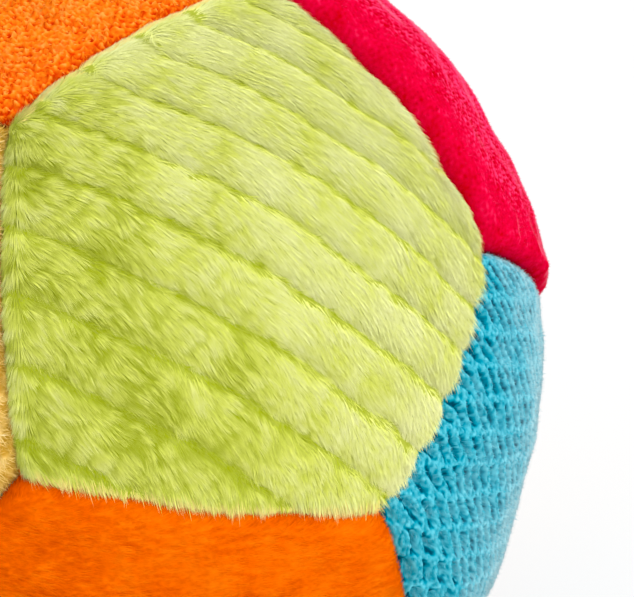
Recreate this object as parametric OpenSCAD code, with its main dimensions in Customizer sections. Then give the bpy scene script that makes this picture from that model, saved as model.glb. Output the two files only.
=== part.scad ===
// Soft patchwork ball for a baby: twelve puffed five-sided panels in six fabrics, each fabric on
// two opposite sides, sewn edge to edge over fibre filling round a sealed rattle capsule.
// It stands on a small flat in the middle of its lowest panel. Millimetres, +Z up.

/* [Ball] */
// Diameter across the crowns of two opposite panels
ball_d = 130; // [115:1:150]
// Radius of one panel's crown, smaller than the ball's so that the seams draw in
crown_r = 56; // [50:0.5:57]
// Depth of the flat that the ball stands on
rest_cut = 0.5; // [0.3:0.1:1]

/* [Fabrics] */
// Thickness of the ribbed plush, pile included
plush_t = 4; // [3:0.1:5]
// Thickness of the terry, loops included
terry_t = 2.6; // [2:0.1:3.5]
// Thickness of the smooth velour
velour_t = 2; // [1.5:0.1:3]
// Thickness of the waffle knit
waffle_t = 2.4; // [1.8:0.1:3.5]
// Thickness of the fleece
fleece_t = 3; // [2:0.1:4]
// Thickness of the bare ground cloth in a turned-in seam allowance
cloth_t = 0.9; // [0.6:0.1:1.2]

/* [Ribbed plush] */
// Distance from one rib of the plush to the next
rib_pitch = 7.3; // [5.5:0.1:10]
// Depth of the groove between two ribs
rib_groove = 1.1; // [0.5:0.1:1.6]

/* [Seams] */
// Gap between the two allowances of a seam
seam_gap = 0.3; // [0.2:0.05:0.6]
// How far the overlock stitching reaches up both allowances
stitch_bite = 2.2; // [1.5:0.1:3.5]
// Thickness of the layer of overlock thread
thread_t = 0.5; // [0.3:0.05:0.8]
// Play between the thread and the cloth that it wraps
thread_gap = 0.1; // [0.05:0.05:0.2]
// Length of a seam that is left without stitching at each corner
stitch_margin = 3; // [2.5:0.1:5]
// Number of hand stitches that close the seam the ball was filled through
hand_stitches = 9; // [5:1:14]
// Width of one hand stitch
hand_stitch_w = 1.6; // [0.8:0.1:2]

/* [Filling] */
// Clearance round the filling
fill_gap = 0.3; // [0.2:0.05:0.6]

/* [Rattle] */
// Outer diameter of the capsule
capsule_d = 32; // [28:1:44]
// Outer height of the capsule
capsule_h = 26; // [20:1:36]
// Wall of the capsule
capsule_wall = 1.6; // [1.4:0.1:2.4]
// Radius of the capsule's rounded rims
capsule_round = 3; // [2.5:0.1:4]
// Height of the lap where the upper shell snaps over the lower one
lap_h = 4; // [3:0.5:6]
// Play in the lap
lap_gap = 0.1; // [0.05:0.05:0.2]
// Radius of the snap ridge in the lap
snap_r = 0.35; // [0.2:0.05:0.5]
// Diameter of a rattle bead
bead_d = 6; // [4:0.5:7]
// Clearance under and over a bead
bead_gap = 0.15; // [0.1:0.05:0.4]

/* [Hidden] */
$fn = 144;
// Overrun of a cut past the solid that it cuts
over = 1;

// Angles of a regular twelve-sided ball, seen from its middle
sides = 5;
side_step = 360 / sides;
// From the middle of a panel to the middle of its edge, and to its corner
edge_tilt = acos(1 / sqrt(5)) / 2;
corner_tilt = acos(sqrt((5 + 2 * sqrt(5)) / 15));
// Length of one edge
edge_span = acos(sqrt(5) / 3);
// Height of the two rings of panels above and below the equator
ring_tilt = 90 - 2 * edge_tilt;

ball_r = ball_d / 2;
centre_z = ball_r - rest_cut;
crown_offset = ball_r - crown_r;
// Half the width of a panel, corner to corner
panel_half_w = radius_at(crown_r, corner_tilt) * sin(corner_tilt) * sin(side_step);

// The allowances stop where the stitching still clears the thickest fabric at a panel's corner
thickest = max(plush_t, terry_t, velour_t, waffle_t, fleece_t);
stitch_top_r = radius_at(crown_r - thickest, corner_tilt) - fill_gap;
allowance_r = stitch_top_r - stitch_bite;
cloth_inset = seam_gap / 2 + cloth_t;
stitch_inset = cloth_inset + thread_gap + thread_t;
stitch_foot_r = allowance_r - thread_gap - thread_t;
margin_angle = asin(stitch_margin / allowance_r);
run_angle = edge_span - 2 * margin_angle;

fill_inset = stitch_inset + fill_gap;
fill_core_r = stitch_foot_r - fill_gap;

// Panels: turn about the upright axis, height above the equator, spin about the panel's own middle
front = -90;
pole_tilt = edge_tilt * 2 + ring_tilt;
top_panel = [front, pole_tilt, 0];
bottom_panel = [front + 3 * side_step, -pole_tilt, 0];
function upper_panel(k) = [front + k * side_step, ring_tilt, 180];
function lower_panel(k) = [front + (k + 1 / 2) * side_step, -ring_tilt, 0];
// The back panel, whose lower seam is closed by hand
back = (sides - 1) / 2;
// Ribs run from the middle of the lower right edge to the corner across the panel
rib_turn = side_step / 2;

capsule_r = capsule_d / 2;
cavity_r = capsule_r - capsule_wall;
cavity_h = capsule_h - 2 * capsule_wall;
lap_r = capsule_r - capsule_wall / 2;
bead_r = bead_d / 2;
bead_count = 5;
bead_ring_r = (cavity_r + capsule_wall - capsule_round) - bead_r;
bead_rest_z = centre_z - cavity_h / 2 + bead_gap + bead_r;

// Distance from the ball's middle to a crown of radius r, at an angle from the panel's middle
function radius_at(r, tilt) = crown_offset * cos(tilt) + sqrt(r * r - pow(crown_offset * sin(tilt), 2));

// Moves a panel drawn with its middle on +Z to its place on the ball
module placed(panel) {
    translate([0, 0, centre_z])
        rotate([0, 90 - panel[1], panel[0]])
            rotate(panel[2])
                children();
}

// Everything past the five seam planes of a panel, the planes moved inwards by inset
module past_seams(inset) {
    for (k = [0 : sides - 1])
        rotate([0, edge_tilt, k * side_step])
            translate([-inset, -ball_d, -ball_d])
                cube([2 * ball_d, 2 * ball_d, 2 * ball_d]);
}

// A wedge of the ball from its middle out to a crown of radius r, between five seam planes
module crowned_wedge(r, inset) {
    difference() {
        translate([0, 0, crown_offset]) sphere(r);
        past_seams(inset);
    }
}

// One panel: a crowned skin with its five seam allowances turned in
module panel_cover(thickness) {
    difference() {
        crowned_wedge(crown_r, seam_gap / 2);
        crowned_wedge(crown_r - thickness, cloth_inset);
        sphere(allowance_r);
    }
}

// Grooves between the ribs, along rings that follow the crown
module rib_grooves() {
    reach = floor(panel_half_w / rib_pitch);
    translate([0, 0, crown_offset])
        rotate([90, 0, rib_turn])
            for (k = [-reach : reach])
                translate([0, 0, k * rib_pitch])
                    rotate_extrude()
                        translate([sqrt(crown_r * crown_r - pow(k * rib_pitch, 2)), 0]) circle(rib_groove);
}

module ribbed_cover() {
    difference() {
        panel_cover(plush_t);
        rib_grooves();
    }
}

module terry_panel_top() {
    color("darkorange") placed(top_panel) panel_cover(terry_t);
}

// The lowest panel is pressed flat where the ball stands
module terry_panel_bottom() {
    color("darkorange")
        difference() {
            placed(bottom_panel) panel_cover(terry_t);
            translate([-ball_r, -ball_r, -ball_d]) cube([ball_d, ball_d, ball_d]);
        }
}

module lime_plush_panel_front() {
    color("yellowgreen") placed(upper_panel(0)) ribbed_cover();
}

module lime_plush_panel_back() {
    color("yellowgreen") placed(lower_panel(back)) ribbed_cover();
}

module red_velour_panel_right() {
    color("crimson") placed(upper_panel(1)) panel_cover(velour_t);
}

module red_velour_panel_left() {
    color("crimson") placed(lower_panel(3)) panel_cover(velour_t);
}

module blue_waffle_panel_right() {
    color("darkturquoise") placed(lower_panel(0)) panel_cover(waffle_t);
}

module blue_waffle_panel_left() {
    color("darkturquoise") placed(upper_panel(3)) panel_cover(waffle_t);
}

module orange_velour_panel_front() {
    color("orangered") placed(lower_panel(4)) panel_cover(velour_t);
}

module orange_velour_panel_back() {
    color("orangered") placed(upper_panel(2)) panel_cover(velour_t);
}

module cream_fleece_panel_left() {
    color("burlywood") placed(upper_panel(4)) panel_cover(fleece_t);
}

module cream_fleece_panel_right() {
    color("burlywood") placed(lower_panel(1)) panel_cover(fleece_t);
}

// Thread wrapped round the raw edges of two allowances, along part of a seam.
// The seam starts from the panel's edge at edge_turn; middle is the angle along it.
module wrapped_edge(edge_turn, middle, angle) {
    rotate([0, edge_tilt - 90, edge_turn])
        rotate(middle - angle / 2)
            rotate_extrude(angle = angle)
                difference() {
                    translate([stitch_foot_r, -stitch_inset])
                        square([stitch_top_r - stitch_foot_r, 2 * stitch_inset]);
                    translate([stitch_foot_r + thread_t, thread_t - stitch_inset])
                        square([stitch_bite + thread_gap + over, 2 * (stitch_inset - thread_t)]);
                }
}

// Every seam but the one that is closed by hand
module seam_overlock() {
    color("whitesmoke")
        for (k = [0 : sides - 1]) {
            placed(top_panel) wrapped_edge(k * side_step, 0, run_angle);
            for (edge = [-1 : 1])
                placed(upper_panel(k)) rotate(180) wrapped_edge((edge + 1 / 2) * side_step, 0, run_angle);
            placed(lower_panel(k)) wrapped_edge(side_step, 0, run_angle);
            if (k != back)
                placed(lower_panel(k)) wrapped_edge(0, 0, run_angle);
        }
}

// Hand stitches over the last seam, under the back panel
module closing_stitches() {
    hand_step = run_angle / hand_stitches;
    hand_angle = 2 * asin(hand_stitch_w / 2 / allowance_r);
    color("navajowhite")
        for (k = [0 : hand_stitches - 1])
            placed(lower_panel(back))
                wrapped_edge(0, (k - (hand_stitches - 1) / 2) * hand_step, hand_angle);
}

// Wadding pressed into one panel
module filling_lobe(panel, thickness) {
    placed(panel) crowned_wedge(crown_r - thickness - fill_gap, fill_inset);
}

module fibre_filling() {
    color("ivory")
        difference() {
            union() {
                translate([0, 0, centre_z]) sphere(fill_core_r);
                for (panel = [top_panel, bottom_panel]) filling_lobe(panel, terry_t);
                for (panel = [upper_panel(0), lower_panel(back)]) filling_lobe(panel, plush_t);
                for (panel = [upper_panel(1), lower_panel(3)]) filling_lobe(panel, velour_t);
                for (panel = [upper_panel(2), lower_panel(4)]) filling_lobe(panel, velour_t);
                for (panel = [upper_panel(3), lower_panel(0)]) filling_lobe(panel, waffle_t);
                for (panel = [upper_panel(4), lower_panel(1)]) filling_lobe(panel, fleece_t);
            }
            translate([0, 0, centre_z])
                rotate_extrude()
                    drum_section(capsule_r + fill_gap, capsule_h / 2 + fill_gap, capsule_round + fill_gap);
        }
}

// Half section of a drum with rounded rims, r from its axis and h up and down from its middle
module drum_section(r, h, rim_r) {
    translate([0, -h]) square([r - rim_r, 2 * h]);
    translate([0, rim_r - h]) square([r, 2 * (h - rim_r)]);
    for (s = [-1, 1])
        translate([r - rim_r, s * (h - rim_r)]) circle(rim_r);
}

// Half section of the capsule's wall
module capsule_wall_section() {
    difference() {
        drum_section(capsule_r, capsule_h / 2, capsule_round);
        drum_section(cavity_r, cavity_h / 2, capsule_round - capsule_wall);
    }
}

// Space of the lap's inner half above the split, widened by play, with its snap ridge
module lap_section(play) {
    translate([cavity_r - over, -over]) square([lap_r + play - cavity_r + over, lap_h + play + over]);
    translate([lap_r, lap_h / 2]) circle(snap_r + play);
}

// Lower cup of the capsule, with a spigot that carries the snap ridge
module rattle_shell_lower() {
    color("gainsboro")
        translate([0, 0, centre_z])
            rotate_extrude()
                difference() {
                    capsule_wall_section();
                    difference() {
                        square([capsule_r + over, capsule_h]);
                        lap_section(0);
                    }
                }
}

// Upper cap of the capsule, with a skirt that snaps over the spigot
module rattle_shell_upper() {
    color("white")
        translate([0, 0, centre_z])
            rotate_extrude()
                difference() {
                    capsule_wall_section();
                    translate([0, -capsule_h]) square([capsule_r + over, capsule_h]);
                    lap_section(lap_gap);
                }
}

// One loose bead on the capsule's floor
module rattle_bead(k) {
    color("gold")
        rotate(k * 360 / bead_count)
            translate([bead_ring_r, 0, bead_rest_z])
                sphere(bead_r);
}

module rattle_bead_1() { rattle_bead(0); }
module rattle_bead_2() { rattle_bead(1); }
module rattle_bead_3() { rattle_bead(2); }
module rattle_bead_4() { rattle_bead(3); }
module rattle_bead_5() { rattle_bead(4); }

terry_panel_top();
terry_panel_bottom();
lime_plush_panel_front();
lime_plush_panel_back();
red_velour_panel_right();
red_velour_panel_left();
blue_waffle_panel_right();
blue_waffle_panel_left();
orange_velour_panel_front();
orange_velour_panel_back();
cream_fleece_panel_left();
cream_fleece_panel_right();
seam_overlock();
closing_stitches();
fibre_filling();
rattle_shell_lower();
rattle_shell_upper();
rattle_bead_1();
rattle_bead_2();
rattle_bead_3();
rattle_bead_4();
rattle_bead_5();
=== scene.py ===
import math

import bpy
import numpy as np
from mathutils import Matrix
from mathutils.kdtree import KDTree


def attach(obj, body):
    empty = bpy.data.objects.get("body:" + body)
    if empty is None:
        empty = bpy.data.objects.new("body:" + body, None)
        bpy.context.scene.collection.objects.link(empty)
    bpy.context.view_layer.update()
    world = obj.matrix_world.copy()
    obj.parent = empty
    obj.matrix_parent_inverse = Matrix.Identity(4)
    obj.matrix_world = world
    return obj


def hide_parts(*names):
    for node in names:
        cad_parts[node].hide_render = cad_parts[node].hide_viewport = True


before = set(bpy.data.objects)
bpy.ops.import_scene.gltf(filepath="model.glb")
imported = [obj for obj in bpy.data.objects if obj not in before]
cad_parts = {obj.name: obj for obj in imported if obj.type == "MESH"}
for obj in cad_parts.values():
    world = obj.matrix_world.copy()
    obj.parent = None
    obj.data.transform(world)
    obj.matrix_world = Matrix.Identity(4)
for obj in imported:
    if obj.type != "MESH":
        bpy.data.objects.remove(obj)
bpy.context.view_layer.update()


# Rattle capsule: two moulded shells that snap together on a lap joint, with five loose beads inside.
# The shells are off-white satin plastic with a faint moulding grain; the beads are glossy amber plastic.
# Both keep their CAD form, so only their finish is made here.
def new_finish(name, roughness, gloss=0.5):
    """A node material with one Principled shader whose even values stand on its own sockets."""
    finish = bpy.data.materials.new(name)
    finish.use_nodes = True
    shader = finish.node_tree.nodes["Principled BSDF"]
    shader.inputs["Roughness"].default_value = roughness
    shader.inputs["Specular IOR Level"].default_value = gloss
    return finish, finish.node_tree, shader


def colour(red, green, blue):
    """A colour read off a screen, 0 to 255, as the linear values that the shader takes."""
    share = np.array([red, green, blue]) / 255
    linear = np.where(share <= 0.04045, share / 12.92, ((share + 0.055) / 1.055) ** 2.4)
    return tuple(float(v) for v in linear)


def new_group(name, inputs, outputs):
    """An empty shader node group with named sockets."""
    group = bpy.data.node_groups.new(name, "ShaderNodeTree")
    for label, kind, value in inputs:
        socket = group.interface.new_socket(label, in_out="INPUT", socket_type=kind)
        socket.default_value = value
    for label, kind in outputs:
        group.interface.new_socket(label, in_out="OUTPUT", socket_type=kind)
    entry = group.nodes.new("NodeGroupInput")
    leave = group.nodes.new("NodeGroupOutput")
    return group, entry, leave


def add_node(tree, kind, **values):
    """A node with its plain settings, and its input sockets by number or name."""
    node = tree.nodes.new(kind)
    for key, value in values.items():
        if key.startswith("in_"):
            label = key[3:]
            node.inputs[int(label) if label.isdigit() else label].default_value = value
        else:
            setattr(node, key, value)
    return node


def place_group(tree, group, values):
    """A node group placed in a material, with the material's own values on its sockets."""
    node = add_node(tree, "ShaderNodeGroup", node_tree=group)
    for label, value in values.items():
        node.inputs[label].default_value = value
    return node


def join(tree, *links):
    """Joins outputs of nodes to inputs of others."""
    for output, socket in links:
        tree.links.new(output, socket)


def mix_colours(tree, factor, first, second):
    """A Mix node between two colours, each given as a socket."""
    node = add_node(tree, "ShaderNodeMix", data_type="RGBA")
    join(tree, (factor, node.inputs["Factor"]), (first, node.inputs["A"]), (second, node.inputs["B"]))
    return node.outputs["Result"]


COLOUR, NUMBER = "NodeSocketColor", "NodeSocketFloat"
mottle_group, entry, leave = new_group(
    "Mottled surface",
    [("Light", COLOUR, (1, 1, 1, 1)), ("Dark", COLOUR, (0, 0, 0, 1)), ("Patch Scale", NUMBER, 100),
     ("Grain Scale", NUMBER, 1500), ("Grain Share", NUMBER, 0.5)],
    [("Colour", COLOUR), ("Height", NUMBER)])
noise_low, noise_high = 0.3, 0.7
place = add_node(mottle_group, "ShaderNodeTexCoord")
patches = add_node(mottle_group, "ShaderNodeTexNoise", in_Detail=3)
grain = add_node(mottle_group, "ShaderNodeTexNoise", in_Detail=2)
both = add_node(mottle_group, "ShaderNodeMix")
spread = add_node(mottle_group, "ShaderNodeMapRange", in_1=noise_low, in_2=noise_high)
for noise, scale in ((patches, "Patch Scale"), (grain, "Grain Scale")):
    join(mottle_group, (place.outputs["Object"], noise.inputs["Vector"]),
         (entry.outputs[scale], noise.inputs["Scale"]))
join(mottle_group, (entry.outputs["Grain Share"], both.inputs["Factor"]),
     (patches.outputs["Fac"], both.inputs["A"]), (grain.outputs["Fac"], both.inputs["B"]),
     (both.outputs["Result"], spread.inputs["Value"]))
mottled = mix_colours(mottle_group, spread.outputs["Result"], entry.outputs["Dark"], entry.outputs["Light"])
join(mottle_group, (mottled, leave.inputs["Colour"]), (grain.outputs["Fac"], leave.inputs["Height"]))


def mottled_finish(name, light, dark, roughness, patch_scale, grain_scale, grain_share, bump, gloss=0.5):
    """A finish whose colour drifts between two tones, with a fine raised grain."""
    grain_height = 0.0002
    finish, tree, shader = new_finish(name, roughness, gloss)
    mottle = place_group(tree, mottle_group, {
        "Light": (*light, 1), "Dark": (*dark, 1), "Patch Scale": patch_scale, "Grain Scale": grain_scale,
        "Grain Share": grain_share})
    raise_grain = add_node(tree, "ShaderNodeBump", in_Strength=bump, in_Distance=grain_height)
    join(tree, (mottle.outputs["Colour"], shader.inputs["Base Color"]),
         (mottle.outputs["Height"], raise_grain.inputs["Height"]),
         (raise_grain.outputs["Normal"], shader.inputs["Normal"]))
    return finish


def refinish(node, finish):
    """Puts a finish on a CAD node that keeps its form."""
    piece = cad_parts[node]
    piece.data.materials.clear()
    piece.data.materials.append(finish)


bead_count = 5
capsule_finish = mottled_finish("moulded capsule plastic", colour(228, 229, 230), colour(218, 219, 221),
                                roughness=0.42, patch_scale=60, grain_scale=2500, grain_share=0.3, bump=0.08)
bead_finish = mottled_finish("glossy bead plastic", colour(240, 204, 70), colour(226, 182, 48),
                             roughness=0.16, patch_scale=200, grain_scale=900, grain_share=0.2, bump=0.02)
for shell in ("rattle_shell_lower", "rattle_shell_upper"):
    refinish(shell, capsule_finish)
for number in range(1, bead_count + 1):
    refinish(f"rattle_bead_{number}", bead_finish)


# Lime panels of ribbed plush: a knitted backing with a dense combed pile that lies along the ribs.
# Each is a five-sided cover, sewn to its neighbours along five seams, turned right side out and stuffed,
# so it is crowned in its middle, rolls down into the seams, and its pile leans out over them.
MM = 0.001
ball_r, seam_r = 65.0, 61.0
ball_middle = np.array([0, 0, 64.5])
panel_sides = 5
ring_tilt = math.degrees(math.atan(0.5))
upper_start, lower_start = -90, -54
upper_ring = ("lime_front", "red_right", "orange_back", "blue_left", "cream_left")
lower_ring = ("blue_right", "cream_right", "lime_back", "red_left", "orange_front")


def unit(vectors):
    """The same ways, each of length 1."""
    return vectors / np.linalg.norm(vectors, axis=-1, keepdims=True)


def facing(azimuth, tilt):
    """The way that a thing faces, from its azimuth and its tilt up from level, in degrees."""
    a, b = math.radians(azimuth), math.radians(tilt)
    return np.array([math.cos(b) * math.cos(a), math.cos(b) * math.sin(a), math.sin(b)])


panel_facing = {"terry_top": facing(0, 90), "terry_bottom": facing(0, -90)}
for step in range(panel_sides):
    turn = 360 / panel_sides * step
    panel_facing[upper_ring[step]] = facing(turn + upper_start, ring_tilt)
    panel_facing[lower_ring[step]] = facing(turn + lower_start, -ring_tilt)

# Hand sewing moved some corners, in mm: round the ball to the right, up, and out.
corner_shift = {
    frozenset(("lime_front", "terry_top", "cream_left")): (5.3, -0.8, 0),
    frozenset(("lime_front", "terry_top", "red_right")): (0.9, -0.2, 1.0),
    frozenset(("orange_back", "terry_top", "red_right")): (0, 0, 4.0),
    frozenset(("lime_front", "red_right", "blue_right")): (-4.8, -2.4, 0),
    frozenset(("lime_front", "blue_right", "orange_front")): (0.1, 0.6, 0),
    frozenset(("lime_front", "orange_front", "cream_left")): (-3.2, 1.0, 0),
    frozenset(("red_right", "blue_right", "cream_right")): (-4.5, -8.5, 1.2),
    frozenset(("orange_front", "blue_right", "terry_bottom")): (3.6, 0.3, 3.0),
    frozenset(("cream_right", "blue_right", "terry_bottom")): (0, 0, 4.5),
}


def tangents(direction):
    """Right and up on the ball's surface, as seen from outside."""
    near_pole = 0.9
    pole = np.array([0, 0, 1.0]) if abs(direction[2]) < near_pole else np.array([0, 1.0, 0])
    right = unit(np.cross(pole, direction))
    return right, np.cross(direction, right)


def seam_corners(panel):
    """The five corners of a panel, in order round it: their directions and how far out each lies."""
    out = panel_facing[panel]
    right, up = tangents(out)
    # Panels that share a seam face ways whose product is 0.45, and other panels are far from that.
    beside = [name for name, way in panel_facing.items() if 0.3 < way @ out < 0.6]
    beside.sort(key=lambda name: math.atan2(panel_facing[name] @ up, panel_facing[name] @ right))
    ways, reaches = [], []
    for first, second in zip(beside, beside[1:] + beside[:1]):
        way = unit(out + panel_facing[first] + panel_facing[second])
        east, north = tangents(way)
        shift = corner_shift.get(frozenset((panel, first, second)), (0, 0, 0))
        ways.append(unit(way * ball_r + east * shift[0] + north * shift[1]))
        reaches.append(seam_r + shift[2])
    return np.array(ways), np.array(reaches)


def drift(points, wavelength, seed, waves=14):
    """Smooth seeded unevenness over points in mm, about -1 to 1."""
    draws = np.random.default_rng(seed)
    ways = unit(draws.normal(size=(waves, 3))) * (2 * math.pi / wavelength)
    ways = ways * draws.uniform(0.7, 1.4, (waves, 1))
    turns = draws.uniform(0, 2 * math.pi, waves)
    return np.cos(points @ ways.T + turns).sum(1) / math.sqrt(waves)


def crowned_skin(panel, middle_r, edge_r, seed, rings=96, relief=None, fuller=None):
    """The outer skin of a panel, in rings: points in mm from the ball's middle, and triangles.
    relief(points, seam_gap) adds the fabric's own ribs or pits, in mm; fuller is a way, where along it the
    filling starts to push the panel out, and how far."""
    rim_share, rim_crowding = 0.996, 1.2
    corner_softness, roll_width = 0.9, 2.6
    swell_span, swell_height, ripple_span, ripple_height, swell_edge = 26, 0.3, 9, 0.15, 2
    pucker_span, pucker_height, pucker_fade = 5, 0.25, 4
    push_span, push_edge = 20, 8

    # Rings of points, which crowd together towards the seams and stop just short of them.
    corners, reaches = seam_corners(panel)
    middle = unit(corners.sum(0))
    ring = np.repeat(np.arange(1, rings + 1), np.arange(1, rings + 1) * panel_sides)
    place = np.concatenate([np.arange(i * panel_sides) for i in range(1, rings + 1)])
    side, along = place // ring, place % ring / ring
    out = rim_share * (1 - (1 - ring / rings) ** rim_crowding)
    edge_point = corners[side] * (1 - along)[:, None] + np.roll(corners, -1, 0)[side] * along[:, None]
    ways = unit(middle * (1 - out)[:, None] + edge_point * out[:, None])
    ways = np.vstack([middle[None], ways])
    out = np.concatenate([[0], out])
    reach = np.concatenate([[seam_r], reaches[side] * (1 - along) + np.roll(reaches, -1)[side] * along])

    # The crown falls from the middle to the seams, and rolls down into them over its last few millimetres.
    inward = unit(np.cross(corners, np.roll(corners, -1, 0)))
    gaps = np.arcsin(np.clip(ways @ inward.T, 0, 1)) * ball_r
    seam_gap = np.maximum(-corner_softness * np.log(np.exp(-gaps / corner_softness).sum(1)), 0)
    lift = edge_r - seam_r
    fall = np.clip(1 - seam_gap / roll_width, 0, 1)
    radius = middle_r + (reach + lift - middle_r) * out ** 2 - lift * (1 - np.sqrt(1 - fall ** 2))

    # The filling swells it unevenly, and the stitches pucker it along the seams.
    points = ways * radius[:, None]
    swell = swell_height * drift(points, swell_span, seed)
    swell += ripple_height * drift(points, ripple_span, seed + 1)
    pucker = pucker_height * np.exp(-seam_gap / pucker_fade) * drift(points, pucker_span, seed + 2)
    radius += (swell + pucker) * np.clip(seam_gap / swell_edge, 0, 1)
    if fuller:
        way, start, height = fuller
        share = np.clip((points @ unit(np.array(way)) - start) / push_span, 0, 1)
        radius += height * share ** 2 * (3 - 2 * share) * np.clip(seam_gap / push_edge, 0, 1)
    plain = ways * radius[:, None]
    if relief:
        radius += relief(plain, seam_gap)
    points = ways * radius[:, None]

    # Triangles join each ring to the one inside it.
    first = np.concatenate([[0], 1 + panel_sides * np.cumsum(np.arange(rings + 1))[:-1]])
    a = first[ring] + place
    b = first[ring] + (place + 1) % (ring * panel_sides)
    inner_count = np.maximum((ring - 1) * panel_sides, 1)
    inner = side * (ring - 1) + place % ring
    c = first[ring - 1] + inner % inner_count
    d = first[ring - 1] + (inner + 1) % inner_count
    second = place % ring < ring - 1
    triangles = np.vstack([np.c_[a, b, c], np.c_[c, b, d][second]])
    return {"points": points, "plain": plain, "triangles": triangles, "seam_gap": seam_gap, "middle": middle,
            "inward": inward, "gaps": gaps, "rings": rings}


def skin_normals(points, triangles):
    """The smooth normals of a skin, at its points."""
    a, b, c = (points[triangles[:, k]] for k in range(3))
    flat = np.cross(b - a, c - a)
    normals = np.zeros_like(points)
    for k in range(3):
        np.add.at(normals, triangles[:, k], flat)
    return unit(normals)


def mesh_piece(name, points, triangles, finish):
    """A smooth mesh from points in mm round the ball's middle, pressed flat where it meets the floor."""
    mesh = bpy.data.meshes.new(name)
    mesh.vertices.add(len(points))
    placed = points + ball_middle
    placed[:, 2] = np.maximum(placed[:, 2], 0)
    mesh.vertices.foreach_set("co", (placed * MM).astype(np.float32).ravel())
    mesh.loops.add(triangles.size)
    mesh.loops.foreach_set("vertex_index", triangles.astype(np.int32).ravel())
    mesh.polygons.add(len(triangles))
    mesh.polygons.foreach_set("loop_start", np.arange(0, triangles.size, 3, dtype=np.int32))
    mesh.polygons.foreach_set("use_smooth", np.ones(len(triangles), bool))
    mesh.update(calc_edges=True)
    mesh.materials.append(finish)
    piece = bpy.data.objects.new(name, mesh)
    bpy.context.scene.collection.objects.link(piece)
    return piece


def set_values(piece, label, values):
    """Stores one number, or one direction, at each point of a mesh for its finish to read."""
    values = np.asarray(values, np.float32)
    kind, field = ("FLOAT", "value") if values.ndim == 1 else ("FLOAT_VECTOR", "vector")
    layer = piece.data.attributes.new(label, kind, "POINT")
    layer.data.foreach_set(field, values.ravel())


def cover_piece(name, skin, thickness, finish, tone=None):
    """A panel as one closed cover: outer skin, allowances that turn in at the seams, and lining."""
    allowance, cloth = 2.4, 0.9
    turned_in = ((0.004, allowance), (0.03, allowance), (0.05, cloth))
    lining_shares = (0.3, 0.6, 0.85)
    rings, points = skin["rings"], skin["points"]
    edge_count = rings * panel_sides
    edge_first = len(points) - edge_count
    edge = points[edge_first:]
    edge_r = np.linalg.norm(edge, axis=1, keepdims=True)
    middle = skin["middle"]

    def from_seam(share):
        """The ways that lie a share of the distance from the seams to the panel's middle."""
        return unit(edge / edge_r * (1 - share) + middle * share)

    lining_r = np.linalg.norm(points[0]) - thickness
    lining = [from_seam(share) * (edge_r - depth) for share, depth in turned_in]
    for share in lining_shares:
        lining.append(from_seam(share) * (lining_r * share + (edge_r - cloth) * (1 - share)))
    more = np.vstack(lining + [middle[None] * lining_r])
    steps = np.arange(edge_count)
    ahead = (steps + 1) % edge_count
    triangles = [skin["triangles"]]
    start = edge_first
    for level in range(len(lining)):
        following = len(points) + level * edge_count
        triangles.append(np.c_[start + steps, following + steps, start + ahead])
        triangles.append(np.c_[start + ahead, following + steps, following + ahead])
        start = following
    tip = len(points) + len(lining) * edge_count
    triangles.append(np.c_[start + steps, np.full(edge_count, tip), start + ahead])
    piece = mesh_piece(name, np.vstack([points, more]), np.vstack(triangles), finish)
    if tone is not None:
        set_values(piece, "tone", np.concatenate([tone, np.full(len(more), tone.mean())]))
        skin_ways = skin_normals(skin["plain"], skin["triangles"])
        lining_ways = np.repeat(middle[None], len(more), 0)
        set_values(piece, "plain_way", np.vstack([skin_ways, lining_ways]))
    return piece


def sow_roots(skin, count, seed):
    """Even, seeded places on the outer skin: roots, the skin's normals there, the distance to the nearest
    seam, the way out over it, how much further off the next seam is, and the draws for the pile."""
    relief_share = 0.25
    draws = np.random.default_rng(seed)
    points, triangles = skin["points"], skin["triangles"]
    a, b, c = (points[triangles[:, k]] for k in range(3))
    area = np.linalg.norm(np.cross(b - a, c - a), axis=1)
    steps = (np.arange(count) + draws.uniform(size=count)) / count
    chosen = np.searchsorted(np.cumsum(area) / area.sum(), steps)
    picked = triangles[np.minimum(chosen, len(triangles) - 1)]
    u, v = draws.uniform(size=(2, count))
    over = u + v > 1
    u, v = np.where(over, 1 - u, u), np.where(over, 1 - v, v)
    share = np.c_[1 - u - v, u, v]
    normals = (relief_share * skin_normals(points, triangles)
               + (1 - relief_share) * skin_normals(skin["plain"], triangles))
    root = (points[picked] * share[:, :, None]).sum(1)
    up = unit((normals[picked] * share[:, :, None]).sum(1))
    gap = (skin["seam_gap"][picked] * share).sum(1)
    gaps = (skin["gaps"][picked] * share[:, :, None]).sum(1)
    nearest = np.sort(gaps, axis=1)
    return root, up, gap, -skin["inward"][gaps.argmin(1)], nearest[:, 1] - nearest[:, 0], draws


def along_skin(ways, up):
    """Directions laid flat on the skin."""
    return unit(ways - up * (ways * up).sum(1, keepdims=True))


def gather_tips(root, tufts_a_lock, strength, draws):
    """How far each tip moves so that neighbouring tufts close up into locks."""
    leaders = draws.permutation(len(root))[: max(len(root) // tufts_a_lock, 1)]
    tree = KDTree(len(leaders))
    for number, leader in enumerate(leaders):
        tree.insert(root[leader], number)
    tree.balance()
    nearest = np.array([tree.find(point)[1] for point in root])
    return (root[leaders[nearest]] - root) * strength[:, None]


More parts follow.
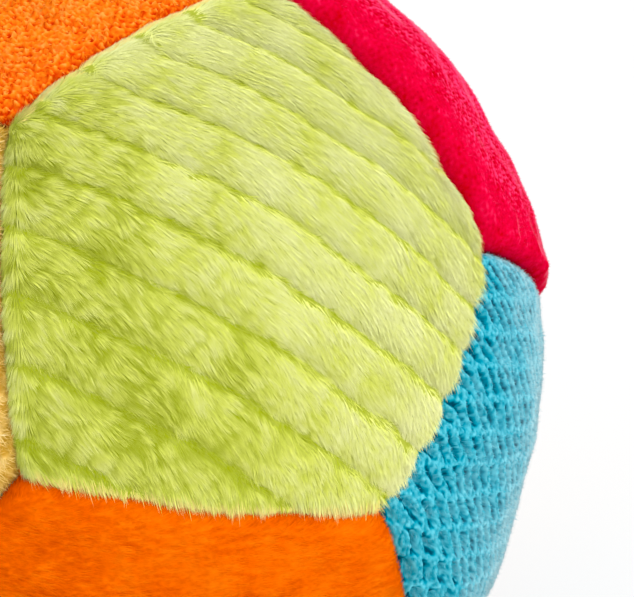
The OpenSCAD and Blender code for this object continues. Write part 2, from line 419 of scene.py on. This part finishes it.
def pile_piece(name, root, up, lay, length, width, tone, bends, finish, tip_move=0.0, ease=0.0,
               skin_share=0.35, flatness=0.7, depth=0.3, face=None):
    """Pile as one closed three-sided tuft per root. bends gives each stretch's share of the length and its
    lean from upright, less ease; tone and along carry the colour, and the map for the bake is laid out by
    these two. face is the way that the soft mass of the pile faces, where that isn't the skin's own."""
    taper, gather_bow = 1.6, 1.5
    around = np.radians([270, 30, 150])
    map_step, map_left, map_width, map_foot, map_height = 0.006, 0.005, 0.97, 0.01, 0.98
    count, stretches = len(root), len(bends)
    face = up if face is None else face
    side = unit(np.cross(up, lay))
    place = root - up * depth
    reached = 0.0
    levels, normals, alongs = [], [], []
    for share, lean in bends:
        tilt = np.broadcast_to(np.radians(lean - ease), count)[:, None]
        way = up * np.cos(tilt) + lay * np.sin(tilt)
        flat = np.cross(way, side)
        thick = width * (1 - reached ** taper)
        for angle in around:
            spoke = side * math.cos(angle) + flat * (flatness * math.sin(angle))
            levels.append(place + spoke * thick[:, None] + tip_move * reached ** gather_bow)
            normals.append(unit(unit(spoke) * (1 - skin_share) + face * skin_share))
            alongs.append(reached)
        place = place + way * (length * share)[:, None]
        reached += share
    levels.append(place + tip_move)
    normals.append(face)
    alongs.append(1.0)
    each, top = 3 * stretches + 1, 3 * (stretches - 1)
    points = np.stack(levels, 1).reshape(-1, 3)
    shape = [(0, 2, 1)]
    for level in range(stretches - 1):
        for k in range(3):
            a, b = 3 * level + k, 3 * level + (k + 1) % 3
            shape += [(a, b, b + 3), (a, b + 3, a + 3)]
    shape += [(top + k, top + (k + 1) % 3, each - 1) for k in range(3)]
    triangles = (np.arange(count)[:, None, None] * each + np.array(shape)).reshape(-1, 3)
    piece = mesh_piece(name, points, triangles, finish)
    piece.data.normals_split_custom_set_from_vertices(np.stack(normals, 1).reshape(-1, 3))
    tones = np.repeat(np.clip(tone, 0, 1), each)
    along = np.tile(alongs, count)
    set_values(piece, "tone", tones)
    set_values(piece, "along", along)
    set_values(piece, "plain_way", np.repeat(face, each, 0))
    across = np.tile([0.0, map_step, 2 * map_step] * stretches + [map_step], count)
    map_place = np.c_[map_left + map_width * tones + across, map_foot + map_height * along]
    bake_map = piece.data.uv_layers.new(name="OFBake")
    bake_map.data.foreach_set("uv", map_place[triangles.ravel()].astype(np.float32).ravel())
    return piece


pile_group, entry, leave = new_group(
    "Pile colour",
    [("Root", COLOUR, (0, 0, 0, 1)), ("Body", COLOUR, (0.5, 0.5, 0.5, 1)), ("Tip", COLOUR, (1, 1, 1, 1)),
     ("Along Share", NUMBER, 0.6), ("Tone Share", NUMBER, 0.6), ("Start", NUMBER, 0)],
    [("Colour", COLOUR)])
tone_value = add_node(pile_group, "ShaderNodeAttribute", attribute_name="tone")
along_value = add_node(pile_group, "ShaderNodeAttribute", attribute_name="along")
by_along = add_node(pile_group, "ShaderNodeMath", operation="MULTIPLY_ADD")
by_tone = add_node(pile_group, "ShaderNodeMath", operation="MULTIPLY_ADD")
lower = add_node(pile_group, "ShaderNodeMapRange", in_1=0, in_2=0.5)
upper = add_node(pile_group, "ShaderNodeMapRange", in_1=0.5, in_2=1)
join(pile_group, (along_value.outputs["Fac"], by_along.inputs[0]),
     (entry.outputs["Along Share"], by_along.inputs[1]), (entry.outputs["Start"], by_along.inputs[2]),
     (tone_value.outputs["Fac"], by_tone.inputs[0]), (entry.outputs["Tone Share"], by_tone.inputs[1]),
     (by_along.outputs[0], by_tone.inputs[2]), (by_tone.outputs[0], lower.inputs["Value"]),
     (by_tone.outputs[0], upper.inputs["Value"]))
rooted = mix_colours(pile_group, lower.outputs["Result"], entry.outputs["Root"], entry.outputs["Body"])
tipped = mix_colours(pile_group, upper.outputs["Result"], rooted, entry.outputs["Tip"])
join(pile_group, (tipped, leave.inputs["Colour"]))


def pile_finish(name, root, body, tip, along_share=0.0, tone_share=1.0, start=0.0, sheen=None,
                sheen_start=0.5, sheen_share=0.9):
    """A finish that colours by tone and along, or a bare cloth by tone alone. sheen is the colour of a
    painted sheen of fuzz, mixed into the base colour where the cloth turns away: from sheen_start of the turn
    it grows to sheen_share, most on raised yarns."""
    finish, tree, shader = new_finish(name, roughness=0.95, gloss=0.0)
    pile = place_group(tree, pile_group, {
        "Root": (*root, 1), "Body": (*body, 1), "Tip": (*tip, 1), "Along Share": along_share,
        "Tone Share": tone_share, "Start": start})
    shade = pile.outputs["Colour"]
    if sheen:
        dull_tone, full_tone = -0.5, 0.7
        plain_way = add_node(tree, "ShaderNodeAttribute", attribute_name="plain_way")
        in_world = add_node(tree, "ShaderNodeVectorTransform", vector_type="NORMAL", convert_from="OBJECT",
                            convert_to="WORLD")
        turned = add_node(tree, "ShaderNodeLayerWeight", in_Blend=0.5)
        share = add_node(tree, "ShaderNodeMapRange", interpolation_type="SMOOTHSTEP",
                         in_1=sheen_start, in_2=1, in_3=0, in_4=sheen_share)
        tone_here = add_node(tree, "ShaderNodeAttribute", attribute_name="tone")
        raised = add_node(tree, "ShaderNodeMapRange", in_1=dull_tone, in_2=full_tone)
        amount = add_node(tree, "ShaderNodeMath", operation="MULTIPLY")
        # Painted sheen: the base colour is mixed towards the sheen colour by Layer Weight.
        painted_sheen_mix = add_node(tree, "ShaderNodeMix", data_type="RGBA", in_B=(*sheen, 1))
        join(tree, (plain_way.outputs["Vector"], in_world.inputs["Vector"]),
             (in_world.outputs["Vector"], turned.inputs["Normal"]),
             (turned.outputs["Facing"], share.inputs["Value"]),
             (tone_here.outputs["Fac"], raised.inputs["Value"]),
             (share.outputs["Result"], amount.inputs[0]), (raised.outputs["Result"], amount.inputs[1]),
             (amount.outputs[0], painted_sheen_mix.inputs["Factor"]), (shade, painted_sheen_mix.inputs["A"]))
        shade = painted_sheen_mix.outputs["Result"]
    join(tree, (shade, shader.inputs["Base Color"]))
    return finish


def sew_in(piece, node=None):
    """Fixes a piece to the ball. A stuffed cover stands for its CAD panel; pile only rides on it."""
    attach(piece, "ball")
    if node:
        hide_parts(node)


lime_backing = mottled_finish(
    "lime knitted backing", colour(180, 190, 70), colour(162, 172, 50), roughness=0.9, patch_scale=150,
    grain_scale=1500, grain_share=0.6, bump=0.3, gloss=0.05)
lime_pile = pile_finish("lime combed pile", colour(168, 182, 14), colour(227, 235, 104),
                        colour(248, 251, 178), along_share=0.35, tone_share=0.9, start=-0.1)
# The edge fibres' pale peach colour is partly their own pale tips, and partly painted rim light and painted
# light spilled from the neighbouring orange panels.
lime_edge_with_painted_rim = pile_finish("pale lime edge fibres", colour(238, 242, 112), colour(255, 240, 132),
                        colour(255, 228, 150), along_share=1.0, tone_share=0.3, start=-0.1)
rib_pitch, rib_turn, rib_start, rib_height, rib_sink = 7.2, 33.5, 2.8, 0.4, 0.25
groove_depth, groove_half, groove_line = 0.5, 0.9, 0.42
plush_length, plush_edge, worn_and_shaded_start, worn_and_shaded_span, lock_places = 2.0, 3.5, 1, 20, 2600
# Each layer of plush: its name, its tufts, its pieces, the tufts' least and most width, and their bends.
plush_layers = (("nap", 190000, 4, (0.045, 0.06), ((1.0, 84),)),
                ("locks", 16000, 1, (0.06, 0.09), ((0.4, 74), (0.6, 88))))


def lime_panel(panel, node, unrimmed, seed):
    """A ribbed cover, its combed nap and locks, and pale fibres along its seams, save those with unrimmed."""
    right, up_way = tangents(panel_facing[panel])
    turn = math.radians(rib_turn)
    rib_way = -up_way * math.cos(turn) + right * math.sin(turn)
    across_way = up_way * math.sin(turn) + right * math.cos(turn)

    def groove_gap(points):
        """The distance to the nearest groove. The grooves wander a little."""
        lines = (points @ across_way - rib_start) / rib_pitch
        lines += 0.035 * drift(points, 18, seed + 11) + 0.02 * drift(points, 4, seed + 10)
        return np.abs(lines - np.round(lines)) * rib_pitch

    def ribs(points, seam_gap):
        """Rounded ribs with a groove between each two, flatter at the seams."""
        gap = groove_gap(points)
        crown = rib_height * (1 - (1 - gap / (rib_pitch / 2)) ** 2) - rib_sink
        return (crown - groove_depth * np.exp(-(gap / groove_half) ** 2)) * np.clip(seam_gap / 1.5, 0.2, 1)

    skin = crowned_skin(panel, middle_r=63.6, edge_r=62.6, seed=seed, relief=ribs)
    cover = cover_piece(f"{panel}_cover", skin, 2.4, lime_backing)
    sew_in(cover, node)
    for layer, count, parts, widths, bends in plush_layers:
        root, up, gap, outward, corner_gap, draws = sow_roots(skin, count, seed + parts)

        # One side is worn, so its pile is ruffled, and its colour is also painted darker there: a painted
        # shade of the side turned from the lamp. The grooves show in dashes where the pile is smooth.
        line_gap = groove_gap(root + rib_way * 0.9 + across_way * 0.4)
        worn_and_shaded_side = np.clip((-root @ right - worn_and_shaded_start) / worn_and_shaded_span, 0, 1)
        ruffle = np.clip(0.2 + 0.62 * worn_and_shaded_side + 0.18 * drift(root, 12, seed + 12), 0, 1)
        dashes = np.clip(0.55 + 0.8 * drift(root, 2.6, seed + 16), 0.1, 1)
        groove = np.exp(-(line_gap / groove_line) ** 2) * np.maximum(dashes, ruffle)

        # The pile lies along the ribs and swings aside lower down. At a seam it leans out where it runs
        # downhill to it, and turns along the seam where it would run uphill from it.
        lower_share = np.clip(0.5 - root @ up_way / 70, 0, 1)
        swing = np.radians(4 + 34 * lower_share + (6 + 6 * ruffle) * drift(root, 10, seed + 13)
                           + (3 + 7 * ruffle) * drift(root, 3, seed + 14) + draws.normal(0, 4 + 30 * groove))
        lay = rib_way * np.cos(swing)[:, None] - across_way * np.sin(swing)[:, None]
        edge = np.clip(1 - gap / plush_edge, 0, 1)
        downhill = np.clip(0.3 + 1.2 * (outward * lay).sum(1), 0, 1)
        beside = np.cross(up, outward)
        beside *= np.sign((beside * lay).sum(1))[:, None]
        uphill = edge * (1 - downhill) * np.clip(corner_gap / 5, 0, 1)
        lay = (lay * (1 - uphill)[:, None] + (beside + 0.6 * outward) * uphill[:, None]
               + outward * (1.2 * edge * downhill)[:, None])
        lay = along_skin(lay, up)

        # Combed streaks run along the ribs. The pile is short in the grooves and uneven along the seams.
        bow = root @ across_way + 1.2 * drift(root, 9, seed + 17)
        flat = np.c_[root @ rib_way / 3, bow, np.zeros(count)]
        streak = np.minimum(0.45 * drift(flat, 1.2, seed + 18) + 0.55 * drift(flat, 0.55, seed + 19), 0.7)
        length = plush_length + 0.1 * ruffle + 0.25 * streak
        length = length * (1 - 0.4 * groove) * draws.uniform(0.85, 1.15, count)
        rib_middle = line_gap / rib_pitch * 2
        length *= 1 + edge * downhill * (0.6 * rib_middle - 0.25 + draws.normal(0, 0.4, count)) - 0.2 * uphill
        move = gather_tips(root, count // lock_places, 0.15 * ruffle + 0.25 * uphill, draws)

        # It is darker where it is ruffled, both from the ruffling and from painted shade, and paler on its
        # streaks. The grooves are painted dark, a painted shade in them. Lower down it is painted paler on
        # the unworn side and darker on the worn side, painted light and shade. The edges are painted paler, a
        # painted light against the shade where they roll into the seams.
        tone = (0.78 - 0.66 * ruffle + 0.05 * drift(root, 6, seed + 15) + (0.06 + 0.38 * ruffle) * streak
                - 0.9 * groove + edge * (0.3 - 0.15 * downhill) + draws.normal(0, 0.03, count)
                + 0.05 * (1 - worn_and_shaded_side) * lower_share - 0.09 * worn_and_shaded_side * lower_share ** 2)
        width = draws.uniform(*widths, count)
        ease = (6 + 5 * streak) * ruffle + 8 * groove + 8 * uphill + 8 * edge * downhill
        ease += draws.normal(0, 1.0, count) * (1 + 7 * edge * downhill)
        face = unit(up + panel_facing[panel] * edge[:, None])

        # The nap is split across the ribs into pieces, and its fibres at the seams are a piece of their own.
        rows = dict(enumerate(np.array_split(np.argsort(root @ across_way), parts), 1))
        if layer == "nap":
            rim = (gap < 1.5 - 0.7 * downhill) | (gap - 0.95 * length * (lay * outward).sum(1) < 0.3)
            for neighbour in unrimmed:
                rim &= outward @ panel_facing[neighbour] < 0.5
            rows = {number: row[~rim[row]] for number, row in rows.items()} | {"edge": np.flatnonzero(rim)}
        for number, row in rows.items():
            pile = pile_piece(f"{panel}_{layer}_{number}", root[row], up[row], lay[row], length[row],
                              width[row], tone[row], bends, lime_edge_with_painted_rim if number == "edge" else lime_pile,
                              move[row], ease[row], skin_share=0.94, flatness=0.4, depth=0.04, face=face[row])
            sew_in(pile)


lime_panel("lime_front", "lime_plush_panel_front", ("blue_right", "cream_left"), 100)
lime_panel("lime_back", "lime_plush_panel_back", ("blue_left", "cream_right"), 200)


# Orange terry panels, above and below: a towelling with small loops of thread all over its face.
# Sewn in and stuffed as the other panels are; the loops stand up and lean over each other a little.
terry_backing = pile_finish("orange terry cloth", colour(216, 58, 0), colour(250, 128, 20),
                            colour(253, 160, 68))
terry_pile = pile_finish("orange terry loops", colour(226, 70, 0), colour(249, 124, 20),
                         colour(252, 158, 70), along_share=0.15, start=-0.05)
terry_way = np.array([0.48, -0.88, 0])
loop_pitch, row_pitch = 1.15, 0.62


def terry_grain(points, seam_gap):
    """The small knots of the loops in their slanting, uneven rows, from -1 to 1."""
    beside_way = np.cross(terry_way, (0, 0, 1.0))
    stretched = points + beside_way * (points @ beside_way)[:, None] * (loop_pitch / row_pitch - 1)
    return 1.25 * drift(stretched, loop_pitch, seed=31, waves=48)


def short_pile_panel(panel, node, pile_name, backing, pile, middle_r, edge_r, count, length, width,
                     bends, lay_way, stray, seed, grain, height=0.2, fuller=None, skin_share=0.35,
                     depth=0.3, seam_shade=0.6, rings=185):
    """A cover whose cloth rises and colours by grain(points, seam_gap), with a short pile sown on it. backing
    and pile are the finishes of the two."""
    cloth_thick, lean_edge, shade_edge, grain_share, speckle = 2.0, 3, 0.8, 0.45, 0.12
    skin = crowned_skin(panel, middle_r, edge_r, seed, rings, fuller=fuller,
                        relief=lambda points, seam_gap: height * grain(points, seam_gap))
    cloth_grain = grain(skin["points"], skin["seam_gap"])
    # seam_shade darkens the cloth and its pile towards the seams: a painted shade of the seams.
    tone = (0.5 + grain_share * cloth_grain + 0.1 * drift(skin["points"], 5, seed + 6)
            - seam_shade * np.exp(-skin["seam_gap"] / shade_edge))
    cover = cover_piece(f"{panel}_cover", skin, cloth_thick, backing, np.clip(tone, 0, 1))
    sew_in(cover, node)
    root, up, gap, outward, _, draws = sow_roots(skin, count, seed + 1)
    lean_out = np.clip(1 - gap / lean_edge, 0, 1)
    wander = draws.normal(0, stray, (count, 3))
    lay = along_skin(lay_way + wander + outward * (1.5 * lean_out)[:, None], up)
    tall = length * draws.uniform(0.7, 1.2, count)
    wide = width * draws.uniform(0.8, 1.2, count)
    tone = (0.55 + 0.15 * drift(root, 6, seed + 4) + grain_share * grain(root, gap)
            - seam_shade * np.exp(-gap / shade_edge) + draws.normal(0, speckle, count))
    piece = pile_piece(f"{panel}_{pile_name}", root, up, lay, tall, wide, tone, bends, pile,
                       skin_share=skin_share, depth=depth)
    sew_in(piece)


for panel, node, seed in (("terry_top", "terry_panel_top", 300), ("terry_bottom", "terry_panel_bottom", 400)):
    short_pile_panel(panel, node, "loops", terry_backing, terry_pile, middle_r=63.9,
                     edge_r=62.4, count=9000, length=0.7, width=0.14, bends=((0.5, 50), (0.5, 85)),
                     lay_way=terry_way, stray=0.35, seed=seed, grain=terry_grain, height=0.3)


# Red velour panels: a knit with a very short, dense pile that stands nearly upright, pressed into flecks.
# Cut, sewn and stuffed as the other panels are; it is paler towards its middle, painted darker at the seams
# as a painted shade, and it has a painted pale sheen where the cloth turns away.
red_backing = pile_finish("red velour cloth", colour(190, 0, 8), colour(222, 3, 58), colour(248, 62, 114),
                          sheen=colour(255, 120, 150), sheen_start=0.83, sheen_share=0.7)
red_pile = pile_finish("red velour pile", colour(196, 0, 8), colour(226, 3, 62), colour(250, 74, 124),
                       along_share=0.35, tone_share=0.8, start=-0.14, sheen=colour(255, 130, 158),
                       sheen_start=0.83, sheen_share=0.7)
red_way = np.array([0.2, 0.1, -0.6])
red_fuller = ((-0.08, 0.47, 0.88), -8, 1.6)


def red_grain(points, seam_gap):
    """Pressed flecks in the nap, which show more towards the middle, where it is also paler, with a painted
    shade that darkens it at the seams.
    """
    fleck_span, fleck_start, fleck_ease, red_seam_shade_span, pale_start, pale_ease = 0.8, 4, 8, 6, 12, 10
    flecks = 1.5 * drift(points, fleck_span, seed=33, waves=48)
    flecks = flecks * np.clip((seam_gap - fleck_start) / fleck_ease, 0.2, 1)
    pale = np.clip((seam_gap - pale_start) / pale_ease, 0, 1)
    return flecks - 0.45 * np.exp(-seam_gap / red_seam_shade_span) + 0.4 * pale


for panel, node, seed in (("red_right", "red_velour_panel_right", 500),
                          ("red_left", "red_velour_panel_left", 600)):
    short_pile_panel(panel, node, "pile", red_backing, red_pile, middle_r=63.4, edge_r=64.7,
                     count=48000, length=0.6, width=0.08, bends=((1.0, 30),), lay_way=red_way, stray=0.5,
                     seed=seed, grain=red_grain, height=0.05, skin_share=0.7, seam_shade=0.1,
                     fuller=red_fuller)


# Blue panels of waffle knit: raised yarn ridges round slanting rows of small deep pits, brushed fuzzy on top.
# The knit is stretched over the filling, so no pit reaches down to it, and its colour and its fuzz's are
# painted paler where the cloth turns away, a painted sheen of the fuzz.
blue_knit = pile_finish("blue waffle knit", colour(0, 74, 96), colour(0, 152, 176), colour(100, 204, 221),
                        sheen=colour(176, 214, 220), sheen_start=0.45)
blue_fuzz = pile_finish("blue brushed fuzz", colour(0, 156, 182), colour(38, 194, 217), colour(152, 222, 234),
                        along_share=0.5, tone_share=0.9, start=-0.25, sheen=colour(194, 219, 223),
                        sheen_start=0.57)
cell_w, cell_h, row_turn = 2.3, 4.9, 26
pit_depth, pit_slant, pit_half_w, pit_half_h = 1.2, 0.5, 0.25, 0.36
yarn_span, yarn_stretch, yarn_height = 0.62, 0.6, 0.07
blue_fuller = ((-0.65, -0.02, -0.76), 2, 2.8)
crown_back, filling_crown, knit_clear = 9.0, 53.3, 0.25
fuzz_count, long_fuzz = 120000, 0.05


def blue_panel(panel, node, seed):
    """A cover of waffle knit, with brushed fuzz on its ridges."""
    right, up_way = tangents(panel_facing[panel])
    skew = math.radians(row_turn)
    yarn_way = unit(up_way * cell_h - right * (pit_slant * cell_w))

    def yarn(points):
        """The twist of the yarns, in short strokes along them."""
        stretched = points - yarn_way * (points @ yarn_way)[:, None] * yarn_stretch
        return drift(stretched, yarn_span, seed + 15, waves=40)

    def cell_place(points):
        """Where points lie in the slanting grid of cells, which is a little uneven."""
        across = points @ right / math.cos(skew)
        upward = points @ up_way + across * math.sin(skew)
        return (across / cell_w + 0.06 * drift(points, 6, seed + 11) + 0.03 * drift(points, 1.5, seed + 14),
                upward / cell_h + 0.05 * drift(points, 6, seed + 12) + 0.02 * drift(points, 1.5, seed + 16))

    def pit_mask(points):
        """About 1 in the pits and 0 on the ridges."""
        a, b = cell_place(points)
        b -= np.round(b)
        a += pit_slant * b
        a -= np.round(a)
        strength = np.clip(1.0 + 0.3 * drift(points, 4.5, seed + 13), 0.6, 1.2)
        return strength * np.exp(-(a / pit_half_w) ** 4 - (b / pit_half_h) ** 4)

    def pits(points, seam_gap):
        """The pits, as deep as the filling behind them lets them be."""
        reach = np.linalg.norm(points, axis=1)
        tilt = np.arccos(np.clip(points @ panel_facing[panel] / reach, -1, 1))
        filling_r = crown_back * np.cos(tilt) + np.sqrt(filling_crown ** 2 - (crown_back * np.sin(tilt)) ** 2)
        knit = yarn_height * yarn(points) - pit_depth * pit_mask(points)
        return np.maximum(knit, np.minimum(filling_r + knit_clear - reach, 0))

    skin = crowned_skin(panel, middle_r=63.8, edge_r=62.4, seed=seed, rings=150, relief=pits,
                        fuller=blue_fuller)
    # The pits are coloured darker than the ridges: painted shade in the pits, on top of the shade that their
    # depth casts.
    tone = 0.76 - 0.8 * np.clip(2.4 * pit_mask(skin["points"]), 0, 1) + 0.26 * yarn(skin["points"])
    cover = cover_piece(f"{panel}_cover", skin, 2.4, blue_knit, np.clip(tone, 0, 1))
    sew_in(cover, node)
    root, up, *_, draws = sow_roots(skin, fuzz_count, seed + 1)
    ridge = pit_mask(root) < 0.01
    root, up = root[ridge], up[ridge]
    count = len(root)
    lay = along_skin(yarn_way * draws.choice((-1, 1), count)[:, None] + draws.normal(0, 0.3, (count, 3)), up)
    tone = 0.5 + 0.3 * yarn(root) + draws.normal(0, 0.2, count)
    length = draws.uniform(0.3, 0.55, count) * np.where(draws.uniform(size=count) < long_fuzz, 2, 1)
    ease = draws.normal(0, 14, count)
    width = draws.uniform(0.04, 0.07, count)
    piece = pile_piece(f"{panel}_fuzz", root, up, lay, length, width, tone, ((1.0, 30),), blue_fuzz,
                       ease=ease, skin_share=0.6, depth=0.05)
    sew_in(piece)


blue_panel("blue_right", "blue_waffle_panel_right", 700)
blue_panel("blue_left", "blue_waffle_panel_left", 800)


# Orange velour panels: a knit with a short, dense pile that is brushed flat to one side.
# Sewn and stuffed as the other panels are; the lie of the nap leaves faint streaks and pressed patches, and
# one side is painted darker, a painted shade of the side turned from the lamp.
velour_backing = pile_finish("orange velour cloth", colour(222, 84, 0), colour(243, 102, 0),
                             colour(250, 118, 4))
velour_pile = pile_finish("orange velour pile", colour(226, 86, 0), colour(245, 104, 0), colour(252, 122, 6),
                          along_share=0.2, tone_share=0.9, start=-0.05)
velour_way = unit(np.array([0.84, -0.47, -0.23]))


def velour_grain(points, seam_gap):
    """Faint streaks from the nap's lie, soft pressed patches, and one side painted darker as a painted shade.
    """
    streak_span, streak_stretch, patch_span, shaded_side_start, shaded_side_ease = 1.1, 0.6, 7, 4, 24
    forward = points @ velour_way
    stretched = points - velour_way * forward[:, None] * streak_stretch
    streaks = 0.45 * drift(stretched, streak_span, seed=34, waves=32)
    # Painted shade: darker on the side turned from the lamp.
    dark = np.clip((shaded_side_start - forward) / shaded_side_ease, 0, 1)
    return streaks + 0.3 * drift(points, patch_span, seed=36) + 0.25 - 0.8 * dark


for panel, node, seed in (("orange_front", "orange_velour_panel_front", 900),
                          ("orange_back", "orange_velour_panel_back", 1000)):
    short_pile_panel(panel, node, "pile", velour_backing, velour_pile, middle_r=64.3,
                     edge_r=62.9, count=48000, length=1.2, width=0.08, bends=((1.0, 68),), lay_way=velour_way,
                     stray=0.15, seed=seed, grain=velour_grain, height=0.1, skin_share=0.9, depth=0.1,
                     rings=110)


# Cream fleece panels: a soft knit brushed up into a short, dense nap that leans every way.
# Sewn and stuffed as the other panels are; its colour is painted a little darker towards the seams, a painted
# shade of the seams.
fleece_backing = pile_finish("cream fleece cloth", colour(202, 154, 52), colour(238, 198, 112),
                             colour(250, 220, 152))
fleece_pile = pile_finish("cream fleece nap", colour(204, 158, 52), colour(242, 206, 120),
                          colour(254, 231, 174), along_share=0.5, tone_share=0.7, start=-0.1)
fleece_way = np.array([0.3, 0.3, -0.6])
tuft_span, fleece_seam_shade_span = 1.8, 5


def fleece_grain(points, seam_gap):
    """Soft tufted unevenness of the brushed face, with a painted shade that darkens it towards the seams."""
    return 0.8 * drift(points, tuft_span, seed=35) - 0.5 * np.exp(-seam_gap / fleece_seam_shade_span)


for panel, node, seed in (("cream_left", "cream_fleece_panel_left", 1100),
                          ("cream_right", "cream_fleece_panel_right", 1200)):
    short_pile_panel(panel, node, "nap", fleece_backing, fleece_pile, middle_r=63.7,
                     edge_r=62.6, count=48000, length=1.3, width=0.09, bends=((1.0, 56),), lay_way=fleece_way,
                     stray=0.8, seed=seed, grain=fleece_grain, skin_share=0.7, depth=0.15, rings=110)


# Fibre filling: white crimped polyester fibre, pushed in by the handful through the last open seam until the
# covers stand tight. It fills every panel's crown and leaves a hollow that grips the rattle capsule.
wadding = mottled_finish("polyester fibre", colour(242, 241, 236), colour(226, 224, 216), roughness=0.9,
                         patch_scale=120, grain_scale=900, grain_share=0.5, bump=0.4, gloss=0.05)
loose_fibre = pile_finish("loose crimped fibre", colour(224, 222, 214), colour(240, 239, 234),
                          colour(250, 250, 247), along_share=0.4, tone_share=0.6)
lump_height, lump_span, fill_hollow_r, fibre_count = 0.05, 8, 30, 2500
fill_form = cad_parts["fibre_filling"]
fill_form.data.calc_loop_triangles()
fill_points = np.array([fill_form.matrix_world @ vertex.co for vertex in fill_form.data.vertices])
fill_points = fill_points / MM - ball_middle
fill_triangles = np.array([triangle.vertices for triangle in fill_form.data.loop_triangles])
fill_points, joined = np.unique(np.round(fill_points, 3), axis=0, return_inverse=True)
fill_triangles = joined.ravel()[fill_triangles]
a, b, c = fill_triangles.T
fill_triangles = fill_triangles[(a != b) & (b != c) & (c != a)]
on_outside = np.linalg.norm(fill_points, axis=1) > fill_hollow_r
lumps = lump_height * (1 + np.clip(drift(fill_points, lump_span, seed=1301), -1, 1)) * on_outside
fill_points += unit(fill_points) * lumps[:, None]
filling = mesh_piece("fibre_wad", fill_points, fill_triangles, wadding)
sew_in(filling, "fibre_filling")
draws = np.random.default_rng(1302)
fibre_root = fill_points[draws.choice(np.flatnonzero(on_outside), fibre_count)]
fibre_up = unit(fibre_root)
fibre_lay = along_skin(draws.normal(size=(fibre_count, 3)), fibre_up)
fibre_length = draws.uniform(3, 6, fibre_count)
fibre_width = draws.uniform(0.05, 0.08, fibre_count)
fibre_tone = draws.uniform(0, 1, fibre_count)
fibres = pile_piece("loose_fibres", fibre_root, fibre_up, fibre_lay, fibre_length, fibre_width, fibre_tone,
                    ((0.4, 86), (0.6, 95)), loose_fibre)
sew_in(fibres)


# Overlock: white polyester thread, wrapped by machine over the raw edges of every seam, inside the ball.
# It keeps its CAD form, so only its finish is made here.
def thread_finish(name, light, dark):
    """A matt twisted thread."""
    return mottled_finish(name, light, dark, roughness=0.7, patch_scale=400, grain_scale=3000,
                          grain_share=0.6, bump=0.4)


refinish("seam_overlock", thread_finish("overlock thread", colour(238, 238, 232), colour(218, 218, 210)))


# Closing stitches: cream thread, sewn by hand over the last seam, which was left open for the filling.
# They keep their CAD form as the overlock does.
refinish("closing_stitches", thread_finish("cream hand thread", colour(238, 220, 186), colour(220, 198, 160)))


# White floor, a soft lamp from the upper right with plain light all round, and the photograph's camera.
# The floor and what is round it show white to the camera, and the floor keeps the ball's shadow.
def seen_directly(tree):
    """1 for what the camera sees straight on, in a gloss or through glass, and 0 for other light."""
    path = add_node(tree, "ShaderNodeLightPath")
    last = path.outputs["Is Camera Ray"]
    for ray in ("Is Glossy Ray", "Is Transmission Ray"):
        either = add_node(tree, "ShaderNodeMath", operation="MAXIMUM")
        join(tree, (last, either.inputs[0]), (path.outputs[ray], either.inputs[1]))
        last = either.outputs[0]
    return last


floor_half, paper_white, shown_white = 3.0, 0.95, 0.85
sky_light, sky_white = 1.1, 1.0
floor_corners = [(x * floor_half, y * floor_half, 0) for x, y in ((-1, -1), (1, -1), (1, 1), (-1, 1))]
floor_mesh = bpy.data.meshes.new("floor")
floor_mesh.from_pydata(floor_corners, [], [(0, 1, 2, 3)])
floor_finish, floor_tree, floor_shader = new_finish("white paper floor", roughness=0.9)
floor_shader.inputs["Base Color"].default_value = (paper_white, paper_white, paper_white, 1)
floor_white = add_node(floor_tree, "ShaderNodeEmission", in_Strength=1.0)
floor_mix = add_node(floor_tree, "ShaderNodeMixShader")
floor_share = add_node(floor_tree, "ShaderNodeMath", operation="MULTIPLY", in_1=shown_white)
join(floor_tree, (seen_directly(floor_tree), floor_share.inputs[0]),
     (floor_share.outputs[0], floor_mix.inputs[0]), (floor_shader.outputs["BSDF"], floor_mix.inputs[1]),
     (floor_white.outputs["Emission"], floor_mix.inputs[2]),
     (floor_mix.outputs["Shader"], floor_tree.nodes["Material Output"].inputs["Surface"]))
floor_mesh.materials.append(floor_finish)
floor = bpy.data.objects.new("floor", floor_mesh)
bpy.context.scene.collection.objects.link(floor)

scene = bpy.context.scene
scene.view_settings.view_transform = "Standard"
scene.world = bpy.data.worlds.new("plain studio")
scene.world.use_nodes = True
sky = scene.world.node_tree
sky.nodes["Background"].inputs["Color"].default_value = (1, 1, 1, 1)
sky_level = add_node(sky, "ShaderNodeMapRange", in_3=sky_light, in_4=sky_white)
join(sky, (seen_directly(sky), sky_level.inputs["Value"]),
     (sky_level.outputs["Result"], sky.nodes["Background"].inputs["Strength"]))


def stand_at(thing, right, up, back, place):
    """Places a lamp or camera, which look along their own -Z, by its axes and its place in mm."""
    rows = [[right[k], up[k], back[k], place[k] * MM] for k in range(3)]
    thing.matrix_world = Matrix(rows + [[0, 0, 0, 1]])
    scene.collection.objects.link(thing)


camera_azimuth, camera_rise, camera_roll = -118.20, 23.27, -18.05
camera_far, ball_right, ball_up = 260.0, -28.83, -6.29
toward = facing(camera_azimuth, camera_rise)
level_right, level_up = tangents(toward)
roll = math.radians(camera_roll)
view_right = level_right * math.cos(roll) + level_up * math.sin(roll)
view_up = level_up * math.cos(roll) - level_right * math.sin(roll)
lens = bpy.data.cameras.new("camera")
lens.sensor_width = 36
lens.lens = 94.83
lens.clip_start = 0.01
camera = bpy.data.objects.new("camera", lens)
stand_at(camera, view_right, view_up, toward,
         ball_middle + toward * camera_far - view_right * ball_right - view_up * ball_up)
scene.camera = camera

lamp_far, lamp_spread = 600, 40
lamp_way = unit(toward * 0.7 + view_right * 0.65 + view_up * 0.35)
lamp = bpy.data.objects.new("soft sun", bpy.data.lights.new("soft sun", "SUN"))
lamp.data.energy = 1.0
lamp.data.angle = math.radians(lamp_spread)
lamp_right, lamp_up = tangents(lamp_way)
stand_at(lamp, lamp_right, lamp_up, lamp_way, ball_middle + lamp_way * lamp_far)
